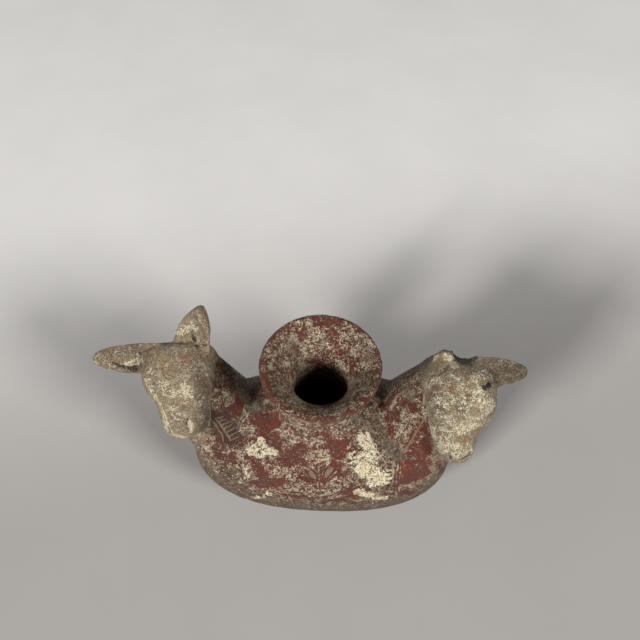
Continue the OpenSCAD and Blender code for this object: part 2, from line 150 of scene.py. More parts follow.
# Incised lines and raised pale seams: kind, half width, depth, and the places they pass through
LINES = [
    ("red", 0.7, 0.3, [(0.8, -38.6, 66.9), (0.6, -35.3, 71.5), (0.5, -32.2, 74.8)]),
    ("red", 0.7, 0.3, [(-1.0, -38.2, 67.3), (-5.3, -37.0, 68.6), (-8.1, -35.0, 71.3), (-8.6, -33.3, 73.2)]),
    ("red", 0.7, 0.3, [(-1.0, -38.2, 67.3), (-2.1, -35.8, 70.6), (-4.0, -33.8, 72.9), (-6.7, -32.5, 74.1)]),
    ("red", 0.7, 0.3, [(2.3, -37.9, 67.7), (2.4, -34.7, 71.8), (4.7, -31.7, 75.1), (8.5, -29.1, 78.3)]),
    ("red", 0.8, 0.3, [(2.3, -37.9, 67.7), (6.7, -35.4, 70.8), (9.2, -32.1, 74.0), (9.1, -29.8, 77.5)]),
    ("red", 0.9, 0.3, [(-2.2, -38.8, 66.4), (-8.3, -37.9, 67.2), (-12.9, -36.1, 69.5)]),
    ("red", 0.9, 0.3, [(3.2, -38.7, 66.5), (7.9, -36.1, 69.7), (12.0, -33.4, 72.7)]),
    ("red", 0.7, 0.3, [(-0.1, -38.7, 66.4), (0.1, -41.4, 61.4)]),
    ("red", 0.8, 0.3, [(-18.0, -42.3, 57.4), (-11.6, -42.3, 58.2), (-6.9, -44.0, 52.9), (-3.0, -44.8, 47.7)]),
    ("red", 0.8, 0.3, [(1.7, -45.0, 46.7), (7.0, -44.2, 50.8), (13.6, -43.5, 53.9), (19.0, -42.5, 56.6)]),
    ("red", 0.7, 0.3, [(20.4, -44.2, 47.7), (25.4, -43.6, 48.9), (30.0, -43.1, 49.2)]),
    ("red", 0.7, 0.3, [(48.3, -25.9, 72.8), (47.6, -32.8, 65.9), (47.9, -37.8, 56.1), (51.0, -39.0, 42.5)]),
    ("red", 0.7, 0.3, [(46.2, -26.1, 73.2), (45.6, -33.1, 66.4), (45.9, -38.2, 56.8), (48.2, -39.8, 42.3)]),
    ("dark", 0.6, 0.45, [(40.0, -28.1, 73.8), (43.9, -27.7, 73.0)]),
    ("dark", 0.6, 0.45, [(40.0, -30.1, 72.1), (44.0, -29.6, 71.1)]),
    ("dark", 0.6, 0.45, [(40.0, -32.0, 70.0), (43.8, -31.6, 69.4)]),
    ("dark", 0.6, 0.45, [(40.0, -33.9, 67.8), (43.8, -33.4, 67.3)]),
    ("dark", 0.6, 0.45, [(40.1, -35.5, 65.2), (43.9, -35.1, 64.7)]),
    ("dark", 0.6, 0.45, [(40.4, -37.1, 62.3), (44.3, -36.6, 61.4)]),
    ("dark", 0.6, 0.45, [(41.0, -38.5, 58.9), (44.9, -38.0, 58.1)]),
    ("dark", 0.6, 0.45, [(41.7, -39.7, 55.1), (45.6, -39.0, 53.6)]),
    ("dark", 0.6, 0.45, [(42.4, -41.0, 51.2), (46.6, -39.9, 48.5)]),
    ("chalk", 0.7, 0.4, [(-64.4, -11.4, 94.1), (-61.9, -13.1, 91.3), (-60.0, -14.7, 87.7),
                         (-57.5, -17.0, 82.6), (-55.3, -18.8, 78.0)]),
    ("chalk", 0.6, 0.4, [(-66.0, -12.8, 93.5), (-62.9, -15.4, 89.0), (-60.1, -17.9, 83.4),
                         (-59.5, -20.4, 79.2)]),
    ("chalk", 0.55, 0.4, [(-62.3, -11.6, 93.4), (-59.3, -10.0, 92.3)]),
    ("chalk", 0.55, 0.4, [(-61.3, -12.7, 91.4), (-58.1, -10.9, 90.2)]),
    ("chalk", 0.55, 0.4, [(-59.8, -13.8, 88.7), (-56.2, -11.2, 87.9)]),
    ("chalk", 0.55, 0.4, [(-58.5, -14.8, 86.4), (-54.9, -12.1, 85.6)]),
    ("chalk", 0.55, 0.4, [(-57.4, -16.0, 84.0), (-53.4, -13.2, 82.9)]),
    ("chalk", 0.55, 0.4, [(-56.1, -17.3, 80.9), (-51.6, -14.1, 79.9)]),
    ("chalk", 0.55, 0.4, [(-54.9, -18.5, 78.0), (-50.9, -16.2, 77.7)]),
    ("chalk", 0.5, 0.35, [(46.9, 1.8, 93.6), (49.0, 4.2, 96.8)]),
    ("chalk", 0.5, 0.35, [(48.0, -2.1, 93.4), (50.7, 0.5, 97.7)]),
    ("chalk", 0.5, 0.35, [(49.2, -5.8, 92.8), (52.3, -3.3, 97.5)]),
    ("chalk", 0.5, 0.35, [(49.9, -8.9, 91.1), (53.5, -6.7, 96.5)]),
    ("chalk", 0.4, 0.4, [(60.1, -9.3, 99.2), (55.4, -16.0, 88.8), (50.3, -22.5, 77.3)]),
    ("chalk", 0.35, 0.35, [(57.3, -8.7, 98.3), (52.7, -14.7, 88.5), (48.0, -21.1, 77.7)]),
    ("chalk", 0.4, 0.35, [(50.3, -37.2, 56.0), (54.4, -38.1, 41.6)]),
    ("chalk", 0.45, 0.4, [(68.9, -24.9, 73.6), (72.9, -24.5, 65.0), (76.4, -23.2, 48.8)]),
    ("chalk", 0.5, 0.3, [(65.0, -26.0, 74.3), (68.9, -24.9, 73.6)]),
    ("chalk", 0.5, 0.35, [(64.3, -32.2, 55.5), (63.3, -33.1, 53.7), (60.9, -33.8, 55.6), (59.5, -33.4, 58.2),
                          (60.4, -32.7, 60.1), (62.7, -32.3, 59.3), (64.3, -32.2, 55.5)]),
    ("pale", 0.7, -0.3, [(59.4, 1.8, 107.9), (60.7, -9.4, 101.2), (65.6, -19.7, 89.6), (68.9, -23.8, 80.2)]),
    ("pale", 0.5, -0.2, [(-66.4, -7.3, 104.3), (-66.3, -9.9, 100.5), (-66.5, -12.7, 95.3),
                         (-67.2, -15.5, 91.6)]),
    ("pale", 0.8, -0.2, [(-101.3, 2.9, 124.1), (-101.1, -4.6, 117.0)]),
    ("pale", 0.6, -0.2, [(-100.0, -6.9, 114.2), (-97.5, -12.0, 106.0), (-93.7, -17.9, 101.1)]),
    ("pale", 0.8, -0.3, [(78.4, -17.6, 111.5), (88.0, -13.7, 115.9), (97.6, -6.2, 116.6)]),
    ("pale", 0.7, -0.2, [(99.5, -4.0, 112.0), (95.4, -13.8, 104.3), (91.7, -17.5, 101.2)]),
    ("pale", 0.9, -0.2, [(-85.0, -26.1, 95.9), (-77.0, -25.4, 93.6)]),
]
# Fields where the red slip shows: the two ends of the stroke, radius and strength
BARE_SLIP = [
    ((-3.9, 29.3, 140.2), (6.3, 30.3, 141.4), 3.6, 0.9),
    ((-30.7, -9.1, 141.2), (-27.0, -20.5, 141.3), 2.4, 0.9),
    ((5.7, 19.6, 132.7), (8.7, 15.7, 129.4), 2.4, 0.8),
    ((16.8, 8.7, 131.7), (20.1, 1.3, 133.5), 2.4, 0.7),
    ((29.0, 3.0, 140.9), (30.0, -6.0, 141.5), 2.4, 0.5),
    ((-6.8, 14.8, 119.7), (-1.0, 15.9, 119.5), 3.0, 0.8),
    ((-55.5, -7.4, 92.2), (-49.5, 0.5, 89.2), 4.2, 1),
    ((-64.6, -11.9, 96.7), (-64.5, -19.7, 85.5), 2.4, 0.9),
    ((-60.0, -13.5, 91.5), (-54.5, -17.5, 80.5), 6.5, 0.8),
    ((-62.3, -21.3, 81.9), (-54.4, -20.3, 77.5), 2.4, 0.8),
    ((-53.2, -14.5, 83.7), (-49.9, -16.0, 78.6), 2.4, 0.9),
    ((-52.0, 5.0, 93.6), (-51.1, 0.7, 91.4), 1.8, 0.7),
    ((-40.7, -6.1, 82.7), (-28.2, -10.5, 90.1), 4.8, 0.9),
    ((-36.4, -13.0, 82.2), (-28.5, -18.2, 84.2), 4.2, 0.9),
    ((-27.9, -17.8, 84.9), (-25.2, -24.2, 80.6), 2.4, 0.9),
    ((-19.5, -30.2, 75.6), (-11.1, -25.2, 85.7), 4.2, 1),
    ((-17.1, -27.4, 79.8), (-10.4, -31.2, 75.8), 3.0, 0.9),
    ((-43.0, -26.8, 74.1), (-39.2, -29.8, 72.5), 3.0, 0.9),
    ((-38.5, -32.1, 70.3), (-34.1, -36.9, 65.2), 4.2, 1),
    ((-38.1, -38.9, 59.8), (-26.7, -38.8, 64.1), 3.6, 1),
    ((-29.2, -40.2, 60.8), (-21.8, -37.7, 66.9), 2.4, 0.7),
    ((-63.4, -25.7, 73.9), (-60.1, -27.9, 68.6), 3.0, 1),
    ((-55.2, -25.4, 71.0), (-53.2, -29.2, 67.8), 1.8, 0.9),
    ((7.8, -23.5, 89.5), (14.4, -23.1, 86.3), 4.8, 1),
    ((8.0, -26.1, 84.0), (11.7, -27.3, 81.0), 3.0, 0.9),
    ((-5.8, -22.1, 97.8), (-2.3, -22.3, 100.0), 2.4, 0.8),
    ((1.2, -22.2, 100.1), (5.3, -22.1, 96.1), 2.4, 0.8),
    ((-13.3, -35.6, 70.6), (-5.3, -37.2, 69.1), 3.0, 0.8),
    ((8.8, -29.8, 76.0), (12.7, -34.8, 71.5), 3.0, 0.8),
    ((15.6, -41.4, 60.9), (22.3, -40.6, 61.4), 3.6, 1),
    ((19.7, -39.4, 64.5), (22.6, -42.8, 55.1), 2.4, 1),
    ((-21.3, -43.2, 54.2), (-10.1, -43.8, 53.8), 1.8, 0.9),
    ((1.7, -44.7, 50.7), (15.9, -44.0, 52.3), 1.5, 0.7),
    ((-10.4, -31.6, 75.3), (-12.1, -33.8, 72.7), 2.4, 0.6),
    ((60.3, -11.9, 97.2), (52.9, -19.6, 82.1), 3.0, 0.8),
    ((64.2, -17.1, 92.2), (61.8, -22.9, 81.9), 4.2, 1),
    ((58.1, -21.3, 83.6), (53.6, -26.3, 73.9), 4.2, 1),
    ((60.1, -26.6, 75.2), (65.6, -28.0, 69.8), 3.6, 1),
    ((53.5, -29.3, 68.6), (63.6, -30.3, 65.6), 4.8, 1),
    ((52.2, -33.5, 62.6), (56.5, -32.3, 63.5), 3.6, 1),
    ((51.4, -37.3, 52.0), (58.1, -36.4, 48.5), 3.0, 1),
    ((49.0, 2.4, 96.6), (53.9, -2.9, 99.5), 3.0, 1),
    ((36.9, 5.9, 83.4), (44.9, 11.4, 92.1), 2.4, 1),
    ((41.0, -1.0, 85.2), (45.4, -4.2, 89.4), 2.4, 0.8),
    ((41.6, -6.3, 83.7), (43.0, -13.0, 81.0), 2.4, 0.7),
    ((48.5, 19.2, 94.7), (51.7, 18.9, 99.3), 2.4, 0.5),
    ((50.2, 25.7, 92.3), (55.5, 24.9, 100.2), 2.4, 0.6),
    ((71.0, -24.7, 71.8), (77.5, -21.3, 50.7), 1.8, 0.8),
    ((21.0, -20.5, 140.8), (24.6, -18.4, 141.5), 1.8, 0.5),
]
# Patches of cream lime crust, in the same form
CREAM_CRUST = [
    ((-42.4, -24.9, 75.8), (-35.9, -20.4, 79.7), 3.0, 1),
    ((-37.2, -18.7, 80.1), (-34.4, -25.2, 77.3), 2.4, 1),
    ((-34.5, -23.6, 78.2), (-27.6, -25.3, 78.3), 2.4, 1),
    ((-39.3, -27.0, 74.9), (-35.5, -27.1, 75.7), 1.8, 0.8),
    ((25.7, -17.0, 85.4), (30.2, -22.1, 79.8), 4.8, 0.9),
    ((18.0, -23.2, 84.0), (20.9, -30.8, 75.0), 3.0, 0.6),
    ((25.0, -26.6, 77.8), (31.1, -28.1, 75.9), 4.8, 0.9),
    ((25.2, -31.4, 73.9), (38.9, -34.6, 67.4), 5.4, 1),
    ((31.8, -37.7, 64.8), (37.9, -36.3, 65.0), 3.6, 0.7),
    ((23.6, -41.2, 59.6), (31.1, -41.6, 56.4), 3.0, 1.1),
    ((33.9, -42.1, 52.5), (41.5, -41.1, 50.6), 2.1, 0.9),
    ((-42.4, -41.7, 41.8), (-30.8, -42.5, 53.0), 2.1, 0.8),
    ((-53.8, -36.9, 30.3), (-45.4, -40.0, 32.7), 1.8, 0.5),
    ((-66.2, -30.2, 57.6), (-49.6, -36.4, 58.5), 4.2, 0.35),
    ((-46.7, -32.0, 67.5), (-44.3, -36.3, 62.3), 2.4, 0.5),
    ((65.4, -18.0, 99.8), (73.6, -22.3, 104.4), 5.4, 0.62),
    ((79.0, -18.5, 107.5), (90.1, -15.0, 110.4), 4.8, 0.72),
    ((70.7, -26.8, 99.1), (85.6, -27.1, 98.5), 5.4, 0.72),
    ((86.7, -8.7, 118.7), (96.7, -7.5, 114.7), 4.8, 0.7),
    ((87.5, -2.2, 123.4), (95.2, -4.2, 118.0), 3.6, 0.6),
    ((85.5, 4.2, 125.5), (94.7, 9.3, 121.8), 3.6, 0.7),
    ((60.4, 5.5, 111.7), (65.9, 4.5, 121.1), 3.0, 0.6),
    ((71.5, 20.1, 121.1), (75.7, 13.7, 124.2), 3.0, 0.8),
    ((67.7, 10.1, 123.0), (73.2, 6.2, 125.6), 2.4, 0.5),
    ((74.7, -0.1, 124.3), (83.0, -3.6, 123.1), 6.2, 0.45),
    ((67.6, -12.4, 110.7), (74.3, -17.6, 109.1), 3.6, 0.6),
    ((70.0, -6.0, 118.0), (84.0, -12.0, 115.0), 8.0, 0.42),
    ((-90.6, -5.9, 121.6), (-86.8, -10.1, 116.6), 3.0, 0.6),
    ((-78.7, -5.6, 120.8), (-77.7, -7.1, 118.9), 2.4, 1),
    ((-87.8, -8.6, 118.6), (-75.6, -9.0, 115.5), 3.0, 0.6),
    ((-85.1, -10.8, 115.7), (-77.8, -11.9, 113.4), 2.4, 0.5),
    ((-91.2, -20.8, 101.9), (-86.4, -25.7, 95.2), 3.0, 0.7),
    ((-81.2, -13.1, 113.1), (-83.5, -19.3, 107.4), 2.4, 0.4),
    ((-80.5, -25.9, 94.9), (-73.9, -22.0, 92.6), 2.4, 0.6),
    ((-74.9, -20.0, 105.6), (-73.9, -24.0, 102.2), 2.0, 1),
    ((-79.2, -19.8, 105.9), (-78.6, -24.4, 102.4), 1.2, 0.3),
    ((-116.5, 10.9, 114.8), (-108.8, 12.9, 116.6), 2.4, 0.9),
    ((-108.5, 15.2, 119.7), (-104.8, 9.4, 120.5), 1.8, 0.8),
    ((-135.0, 10.2, 116.6), (-132.7, 10.6, 116.4), 1.5, 0.8),
    ((-125.3, 11.3, 115.8), (-118.2, 9.8, 114.2), 2.1, 0.5),
    ((-83.7, 23.6, 133.2), (-76.2, 24.5, 137.5), 3.0, 0.8),
    ((-77.9, 25.7, 141.7), (-74.0, 23.4, 135.2), 2.4, 0.6),
    ((-102.2, 4.3, 122.4), (-100.6, -3.4, 117.5), 0.8, 1.2),
    ((-100.0, 4.6, 124.5), (-97.5, -0.3, 123.8), 0.7, 0.9),
    ((-103.1, -3.0, 111.7), (-96.2, -11.4, 106.0), 0.9, 0.8),
    ((-105.1, 2.8, 115.6), (-99.0, -3.1, 119.5), 2.4, 0.4),
    ((-100.7, -2.5, 120.5), (-96.5, -9.0, 113.9), 2.0, 0.7),
    ((-96.5, -9.0, 113.9), (-91.5, -16.0, 107.0), 2.6, 0.75),
    ((-91.0, -16.5, 106.5), (-87.4, -23.8, 99.5), 2.4, 0.75),
    ((-86.6, -24.8, 98.2), (-78.5, -26.0, 96.7), 2.0, 0.75),
    ((-87.0, -13.7, 112.4), (-84.0, -18.0, 108.7), 3.2, 0.5),
    ((-92.5, -20.6, 98.7), (-89.6, -24.1, 95.5), 1.8, 0.5),
    ((-68.8, -28.1, 63.4), (-54.7, -32.8, 62.0), 2.4, 0.3),
]
# Dense grey-olive deposit, in the same form
GREY_CRUST = [
    ((-71.8, 6.0, 125.3), (-68.1, -5.8, 111.3), 6.0, 0.8),
    ((-69.6, -8.6, 110.4), (-69.5, -18.0, 89.9), 4.8, 0.8),
    ((-72.5, 0.8, 122.8), (-75.9, 4.7, 127.1), 4.8, 0.4),
    ((-50.1, 12.8, 90.8), (-41.4, 1.3, 82.9), 5.4, 0.9),
    ((-62.4, 20.6, 104.9), (-54.2, 6.0, 96.7), 4.8, 0.5),
    ((-68.5, 9.3, 123.2), (-67.2, 18.5, 121.7), 3.6, 0.5),
    ((19.6, -10.8, 99.1), (38.0, -10.0, 82.6), 4.8, 0.5),
    ((38.1, -15.8, 81.0), (48.2, -24.2, 74.3), 4.2, 0.7),
    ((46.1, 15.8, 93.1), (53.3, 4.3, 102.2), 3.6, 0.5),
    ((31.6, -2.3, 86.9), (35.5, -10.2, 82.9), 3.6, 0.5),
    ((61.6, -4.3, 115.5), (67.4, -9.3, 113.3), 4.2, 0.7),
    ((73.3, -7.1, 119.3), (79.0, -10.7, 117.2), 3.6, 0.5),
    ((76.1, 17.0, 123.2), (79.5, 12.1, 124.9), 3.0, 0.6),
    ((89.9, 18.6, 121.5), (113.6, 14.2, 121.6), 6.8, 0.9),
    ((96.0, 12.0, 121.0), (117.0, 11.0, 119.0), 7.0, 0.7),
    ((-120.2, 15.4, 120.8), (-107.1, 16.5, 125.6), 3.6, 0.7),
    ((-131.6, 14.4, 121.7), (-121.1, 15.8, 122.3), 3.0, 0.6),
    ((-80.4, 26.7, 148.1), (-67.6, 23.6, 147.4), 3.0, 0.5),
    ((-68.1, 23.3, 143.9), (-68.1, 19.1, 131.6), 2.4, 0.5),
    ((-18.1, 15.6, 135.2), (-13.7, 9.5, 115.5), 4.8, 0.5),
    ((-24.0, 5.1, 135.7), (-20.4, -13.6, 135.7), 3.0, 0.3),
    ((-8.3, 24.7, 137.6), (14.5, 23.2, 139.3), 3.6, 0.3),
    ((21.3, 17.8, 139.8), (25.8, 7.7, 139.4), 3.6, 0.4),
    ((15.5, -3.7, 126.1), (21.7, -2.3, 135.3), 3.0, 0.5),
    ((-52.1, -34.7, 60.6), (-46.8, -34.5, 64.0), 1.8, 0.4),
]
# Black specks, and soot and painted shade in pits and creases, in the same form
SOOT_AND_SHADE = [
    ((-121.5, 9.7, 115.3), (-117.9, 8.8, 114.7), 1.2, 1),
    ((-124.4, 10.4, 116.2), (-122.7, 10.1, 115.7), 0.9, 0.8),
    ((-115.5, 8.5, 114.4), (-110.7, 8.2, 114.1), 1.2, 1),
    ((-108.1, 15.0, 121.3), (-106.9, 13.8, 117.6), 0.9, 1),
    ((-107.5, 12.9, 116.7), (-107.4, 10.1, 114.6), 1.0, 0.9),
    ((-112.6, 9.6, 115.0), (-110.9, 9.6, 115.0), 0.8, 0.8),
    ((-76.0, 22.6, 131.1), (-74.7, 20.5, 128.0), 1.6, 1),
    ((-74.1, 16.6, 128.7), (-68.8, 17.2, 129.2), 1.1, 0.8),
    ((-71.7, 23.4, 146.4), (-70.5, 24.4, 144.1), 1.0, 0.8),
    ((-77.2, 22.5, 133.1), (-75.6, 22.9, 135.9), 0.7, 0.7),
    ((-67.7, 4.4, 120.2), (-66.1, 5.9, 120.2), 0.8, 0.7),
    ((-68.3, 2.6, 118.7), (-67.3, 2.4, 116.8), 0.7, 0.6),
    ((-66.0, 8.6, 120.2), (-65.1, -0.3, 104.9), 0.7, 0.6),
    ((-65.1, -0.3, 104.9), (-65.1, -12.6, 92.7), 0.7, 0.6),
    ((91.3, -0.4, 122.6), (94.9, 3.5, 120.5), 1.6, 1),
    ((67.8, 9.4, 121.9), (71.4, 13.4, 122.1), 0.7, 1),
    ((75.9, 17.8, 122.0), (78.3, 16.2, 123.6), 1.1, 0.8),
    ((79.3, 14.6, 124.1), (84.8, 16.7, 123.2), 0.9, 0.5),
    ((-77.3, -19.4, 106.2), (-76.7, -23.4, 102.7), 0.8, 1),
    ((-88.1, -22.4, 101.6), (-87.3, -24.9, 97.6), 0.7, 0.8),
    ((73.6, -29.9, 98.2), (75.3, -31.1, 93.8), 1.0, 0.9),
    ((81.5, -31.5, 94.1), (86.0, -28.0, 96.2), 0.8, 1),
    ((92.9, 1.9, 119.9), (97.6, 5.4, 119.2), 0.7, 0.9),
    ((61.8, -14.3, 94.3), (74.8, -19.5, 105.2), 0.6, 0.6),
    ((76.2, -19.5, 106.7), (89.8, -16.5, 105.6), 0.6, 0.5),
    ((26.4, 0.7, 92.6), (30.4, 5.5, 87.6), 1.3, 0.9),
    ((-54.5, 9.2, 98.3), (-53.3, 7.0, 94.9), 1.8, 0.35),
    ((-53.0, 2.5, 92.9), (-51.8, -0.0, 90.0), 1.5, 0.35),
    ((-87.6, 10.6, 130.9), (-73.6, 13.8, 128.8), 0.9, 0.5),
    ((-35.1, 2.8, 86.0), (-30.7, -2.6, 90.3), 1.8, 0.5),
    ((60.4, 2.2, 110.4), (60.2, -5.2, 104.7), 0.8, 0.4),
]
# Reddish stains on the heads, in the same form
RUSTY = [
    ((81.4, -4.4, 122.2), (80.9, -6.9, 120.9), 1.8, 1),
    ((72.1, 0.0, 122.8), (74.8, -3.3, 122.0), 3.0, 0.7),
    ((61.2, 5.4, 114.3), (64.9, 0.8, 118.3), 2.4, 0.6),
    ((80.8, -29.4, 99.0), (83.7, -31.2, 95.0), 3.0, 0.5),
    ((-82.7, 7.8, 130.4), (-78.1, 6.2, 128.9), 2.4, 0.7),
    ((-92.4, 0.8, 126.9), (-89.5, -0.2, 126.6), 2.4, 0.6),
]
# Darker fields, partly dirt and partly painted shade, in the same form
DIRT_AND_SHADE = [
    ((-62.0, -12.0, 95.0), (-55.0, -18.0, 80.0), 8.0, 1),
    ((-62.0, -24.0, 76.0), (-60.0, -32.0, 58.0), 6.0, 0.5),
    ((16.0, -12.0, 126.0), (26.0, -8.0, 137.0), 8.0, 0.8),
    ((92.0, 14.0, 121.0), (117.0, 12.0, 119.0), 10.0, 0.7),
    ((-8.0, -20.0, 125.0), (8.0, -20.0, 125.0), 8.0, 0.4),
    ((-128.0, 14.0, 119.0), (-108.0, 14.0, 119.0), 9.0, 0.3),
    ((30.0, -12.0, 83.0), (46.0, -22.0, 75.0), 6.0, 0.4),
    ((-40.0, -8.0, 84.0), (-22.0, -26.0, 80.0), 8.0, 0.3),
]
# Buff leaves, bars and blobs of the painted ornament, in the same form
BUFF_PAINT = [
    ((67.5, -27.2, 69.4), (71.5, -26.5, 63.5), 2.0, 1),
    ((-5.4, -35.0, 71.6), (-2.3, -37.0, 69.0), 1.6, 0.9),
    ((3.0, -34.8, 71.9), (6.6, -33.3, 73.4), 1.6, 0.9),
    ((3.1, -36.9, 69.3), (6.6, -34.2, 72.5), 1.3, 0.7),
    ((-8.4, -35.5, 70.8), (-4.7, -36.9, 68.7), 1.2, 0.6),
    ((60.6, -33.1, 59.2), (62.9, -33.0, 55.8), 0.7, 0.8),
    ((50.7, -1.1, 97.1), (51.8, -3.6, 96.8), 1.0, 0.8),
    ((55.2, -16.0, 88.7), (60.2, -9.5, 99.0), 0.8, 0.9),
    ((50.3, -22.3, 77.7), (55.2, -16.0, 88.7), 0.7, 0.8),
]
# The ears' clay, without slip, in the same form
BARE_EARS = [
    ((-98, 11.5, 120), (-136, 11.5, 118.3), 9, 0.88),
    ((-77, 18, 128), (-71, 25.4, 151), 10, 0.9),
    ((91, 10.5, 121), (118, 12.2, 120), 9, 0.8),
    ((70, 17, 119), (67, 21, 127), 7, 1),
]
# The heads' clay: ends and radius, the seam's direction from the neck towards the head and its
# place that way, and the lowest height
BARE_HEADS = [
    ((-87, 24.9, 118.7), (-81.3, -24.7, 91.1), 26, (-0.98, -0.026, 0.196), 85.2, 80),
    ((80.5, 25, 117.7), (78.9, -31, 86.7), 27, (0.968, 0.12, 0.22), 81.3, 76),
]
# The whole ears, thin enough to need care when the clay is remeshed: ends and radius
EARS = [
    ((-103, 12, 119), (-134, 11.5, 118), 15),
    ((-75, 23, 137), (-70, 27, 150), 19),
    ((97, 11, 121), (116, 12, 120), 14),
]


def srgb(red, green, blue):
    """Linear colour of a colour written as 0 to 255."""
    return tuple((c / 255 / 12.92) if c <= 10 else ((c / 255 + 0.055) / 1.055) ** 2.4
                 for c in (red, green, blue))


def colour_property(name, description, colour):
    """Property that holds one colour, its default written as 0 to 255."""
    return FloatVectorProperty(name=name, description=description, subtype="COLOR", size=3, min=0, max=1,
                               default=srgb(*colour))


class VaseClay(bpy.types.PropertyGroup):
    """Sizes and colours of the fired clay"""

    grain: FloatProperty(name="Grain", description="Edge of the remeshed clay's faces", default=1.2 * MM,
                         min=0.9 * MM, max=3 * MM, precision=4, subtype="DISTANCE")
    softening: IntProperty(name="Softening", description="Passes that round the joins of the forms",
                           default=20, min=0, max=60)
    crust_lift: FloatProperty(name="Crust lift", description="Height of the cream crust over the slip",
                              default=0.28 * MM, min=0, max=1 * MM, precision=5, subtype="DISTANCE")
    slip: colour_property("Slip", "Worn red slip", (102, 51, 38))
    slip_deep: colour_property("Deep slip", "Darkest slip", (62, 38, 30))
    slip_bright: colour_property("Bright slip", "Cleanest slip", (126, 58, 38))
    bare_clay: colour_property("Bare clay", "Unslipped clay of heads and ears", (190, 166, 130))
    bare_dark: colour_property("Dark bare clay", "Unslipped clay where it is stained", (86, 72, 54))
    rust: colour_property("Rust", "Reddish stains on the bare clay", (150, 92, 64))
    crust: colour_property("Crust", "Beige burial crust", (152, 133, 107))
    # Dark crust, also laid as painted shade over the low body and the darker fields
    crust_dark_and_shade: colour_property("Dark crust", "Brown burial crust", (50, 40, 32))
    strand: colour_property("Strand", "Pale streaks that run through the crust", (228, 211, 180))
    cream: colour_property("Cream", "Lime crust", (255, 242, 208))
    cream_dark: colour_property("Yellowed cream", "Thin lime crust", (190, 166, 126))
    grey: colour_property("Grey", "Dense grey-olive deposit", (106, 96, 80))
    buff: colour_property("Buff", "Painted leaves and bars", (150, 134, 102))
    chalk: colour_property("Chalk", "What fills the fern and the scratches", (158, 138, 112))
    # Soot colour, also used as painted shade in creases and over the unlit interior
    soot_and_shade: colour_property("Soot", "Pits, creases and the unlit inside", (26, 22, 18))


class VaseStage(bpy.types.PropertyGroup):
    """Floor and light of the studio"""

    # The near paper carries painted shade, the far paper painted light
    floor: colour_property("Floor", "Pale paper under and before the vase", (171, 167, 163))
    far_floor_painted_light: colour_property("Far floor", "The paper beyond the vase", (231, 228, 224))
    key_power: FloatProperty(name="Key", description="Power of the front-left lamp", default=220, min=0,
                             unit="POWER")
    fill_power: FloatProperty(name="Fill", description="Power of the right lamp", default=136, min=0,
                              unit="POWER")
    ambient: FloatProperty(name="Ambient", description="Strength of the light from all round", default=0.075,
                           min=0)


def clear_selection():
    """Go to object mode and deselect everything, because the frame arrives selected."""
    if bpy.context.mode != "OBJECT":
        bpy.ops.object.mode_set(mode="OBJECT")
    bpy.ops.object.select_all(action="DESELECT")


def only(obj):
    """Select obj alone and make it active."""
    clear_selection()
    obj.select_set(True)
    bpy.context.view_layer.objects.active = obj


def apply(obj, kind, **settings):
    """Add one modifier to obj and apply it."""
    only(obj)
    bpy.ops.object.modifier_add(type=kind)
    modifier = obj.modifiers[-1]
    for key, value in settings.items():
        setattr(modifier, key, value)
    bpy.ops.object.modifier_apply(modifier=modifier.name)


def edit_vertices(obj, picked):
    """Open obj in edit mode with only the picked vertices selected."""
    only(obj)
    bpy.ops.object.mode_set(mode="EDIT")
    mesh = bmesh.from_edit_mesh(obj.data)
    mesh.select_mode = {"VERT"}
    for vertex, pick in zip(mesh.verts, picked):
        vertex.select_set(bool(pick))
    mesh.select_flush_mode()
    bmesh.update_edit_mesh(obj.data)


def rows_of(values, name):
    """One row of three numbers for each vertex."""
    flat = np.empty(len(values) * 3, np.float32)
    values.foreach_get(name, flat)
    return flat.reshape(-1, 3).astype(float)


def places(obj):
    """Vertex places in millimetres."""
    return rows_of(obj.data.vertices, "co") / MM


def push(obj, height):
    """Move each vertex along its normal by height, in millimetres."""
    co = (places(obj) + rows_of(obj.data.vertex_normals, "vector") * height[:, None]) * MM
    obj.data.vertices.foreach_set("co", co.astype(np.float32).ravel())
    obj.data.update()


def away(p, a, b):
    """Distance of the points p from the stroke between a and b."""
    a, b = np.array(a, float), np.array(b, float)
    d = b - a
    t = np.clip(((p - a) @ d) / max(d @ d, 1e-9), 0, 1)
    return np.linalg.norm(p - a - t[:, None] * d, axis=1)


def soft(x, low, high):
    """Nought below low, one above high, and a smooth step between."""
    t = np.clip((x - low) / (high - low), 0, 1)
    return t * t * (3 - 2 * t)


def strokes(p, rows, edge=0.45):
    """Strongest stroke at each point; edge is the share of its radius over which it fades either way."""
    best = np.zeros(len(p))
    for a, b, radius, strength in rows:
        fade = soft(away(p, a, b), radius * (1 - edge), radius * (1 + edge))
        best = np.maximum(best, strength * (1 - fade))
    return best


def line_legs(kinds=KINDS):
    """Each straight leg of the lines of these kinds: half width, depth and its two ends."""
    for kind, half, depth, path in LINES:
        if kind in kinds:
            for a, b in zip(path, path[1:]):
                yield half, depth, a, b


def near_lines(p, kinds=KINDS):
    """Distance from the nearest line, in its half widths, and that line's depth."""
    share, deep = np.full(len(p), 9.0), np.zeros(len(p))
    for half, depth, a, b in line_legs(kinds):
        d = away(p, a, b) / half
        deep = np.where(d < share, depth, deep)
        share = np.minimum(share, d)
    return share, deep


def on_ears(p):
    """One on the leaves of the three whole ears, nought elsewhere."""
    return strokes(p, [(a, b, radius, 1) for a, b, radius in EARS], edge=0.2)


def mouth_radius(p):
    """Distance of the points p from the mouth's axis."""
    return np.hypot(p[:, 0] - MOUTH_X, p[:, 1])


def in_hollow(p, length, width, height):
    """True in a squared ellipsoid of these half sizes round the middle of the body's hollow."""
    plan = np.abs(p[:, 0] / length) ** PLAN_POWER + np.abs(p[:, 1] / width) ** PLAN_POWER
    rise = np.abs((p[:, 2] - HOLLOW_Z) / height) ** RISE_POWER
    return (plan ** (RISE_POWER / PLAN_POWER) + rise < 1) & (p[:, 2] > HOLLOW_FLOOR_Z)


